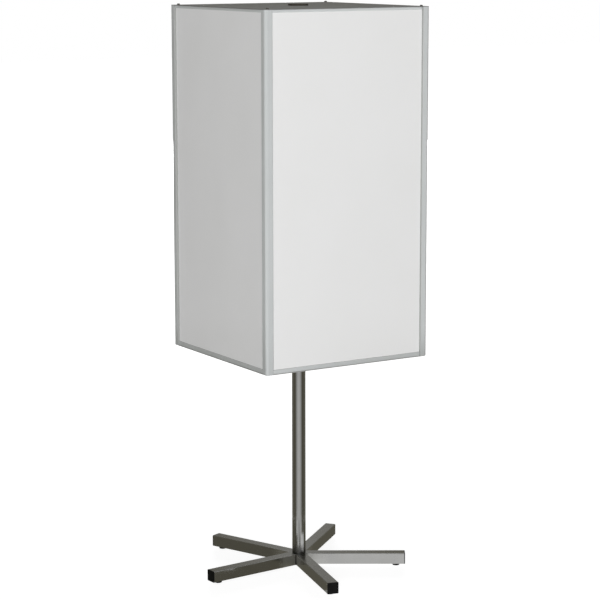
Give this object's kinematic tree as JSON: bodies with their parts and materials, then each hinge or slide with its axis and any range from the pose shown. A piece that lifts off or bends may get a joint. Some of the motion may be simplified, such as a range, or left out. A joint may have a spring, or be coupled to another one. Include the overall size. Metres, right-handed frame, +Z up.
{
  "type": "revolving four-sided sign stand",
  "caption": "Free-standing revolving sign: a tall square head of blank white panels in an aluminium frame on a round chrome pole with a star base of square tube arms.",
  "frame": {"origin": "on the floor, on the pole's axis", "axes": "+Z up along the pole; X and Y square to the sign's four faces at rest"},
  "size_m": [0.7176, 0.7365, 2.006],
  "materials": {
    "anodised_aluminium": "satin natural anodised",
    "white_coated_board": "smooth white face, slight sheen",
    "steel_sheet": "grey sheet metal",
    "chromed_steel_tube": "polished chrome",
    "black_moulded_plastic": "fine moulded grain",
    "blackened_steel": "dark burnished",
    "turned_steel": "turned",
    "zinc_plated_steel": "bright zinc plated",
    "bearing_steel": "ground and polished",
    "turned_brass": "turned",
    "natural_nylon": "smooth"
  },
  "bodies": {
    "stand": {"base_arm_1": "chromed_steel_tube", "base_arm_2": "chromed_steel_tube", "base_arm_3": "chromed_steel_tube", "base_arm_4": "chromed_steel_tube", "base_arm_5": "chromed_steel_tube", "arm_end_cap_1": "black_moulded_plastic", "arm_end_cap_2": "black_moulded_plastic", "arm_end_cap_3": "black_moulded_plastic", "arm_end_cap_4": "black_moulded_plastic", "arm_end_cap_5": "black_moulded_plastic", "floor_glide_1": "black_moulded_plastic", "floor_glide_2": "black_moulded_plastic", "floor_glide_3": "black_moulded_plastic", "floor_glide_4": "black_moulded_plastic", "floor_glide_5": "black_moulded_plastic", "hub_core": "turned_steel", "hub_washer": "zinc_plated_steel", "hub_bolt": "zinc_plated_steel", "pole": "chromed_steel_tube", "pole_foot_plug": "turned_steel", "pole_spindle": "turned_steel", "bearing_lower_race": "bearing_steel", "keeper_washer": "zinc_plated_steel", "keeper_ring": "blackened_steel"},
    "ball_set": {"bearing_balls": "bearing_steel", "ball_cage": "turned_brass"},
    "head": {"corner_post_1": "anodised_aluminium", "corner_post_2": "anodised_aluminium", "corner_post_3": "anodised_aluminium", "corner_post_4": "anodised_aluminium", "bottom_rail_1": "anodised_aluminium", "bottom_rail_2": "anodised_aluminium", "bottom_rail_3": "anodised_aluminium", "bottom_rail_4": "anodised_aluminium", "top_rail_1": "anodised_aluminium", "top_rail_2": "anodised_aluminium", "top_rail_3": "anodised_aluminium", "top_rail_4": "anodised_aluminium", "sign_panel_1": "white_coated_board", "sign_panel_2": "white_coated_board", "sign_panel_3": "white_coated_board", "sign_panel_4": "white_coated_board", "bearing_upper_race": "bearing_steel", "bearing_housing": "turned_steel", "spindle_bush": "turned_brass", "housing_screws": "zinc_plated_steel", "bearing_cover": "blackened_steel", "top_plate": "steel_sheet", "top_screws": "blackened_steel", "bottom_plate": "steel_sheet", "bottom_screws": "zinc_plated_steel", "guide_bush": "natural_nylon", "guide_screws": "zinc_plated_steel", "guide_nuts": "zinc_plated_steel"}
  },
  "joints": [
    {"name": "head_turn", "type": "hinge", "parent": "stand", "child": "head", "pos_m": [0, 0, 1.9765], "axis": [0, 0, 1], "continuous": true},
    {"name": "ball_set_turn", "type": "hinge", "parent": "stand", "child": "ball_set", "pos_m": [0, 0, 1.9765], "axis": [0, 0, 1], "continuous": true}
  ],
  "couplings": [
    {"joint": "ball_set_turn", "follows": "head_turn", "ratio": 0.5}
  ]
}
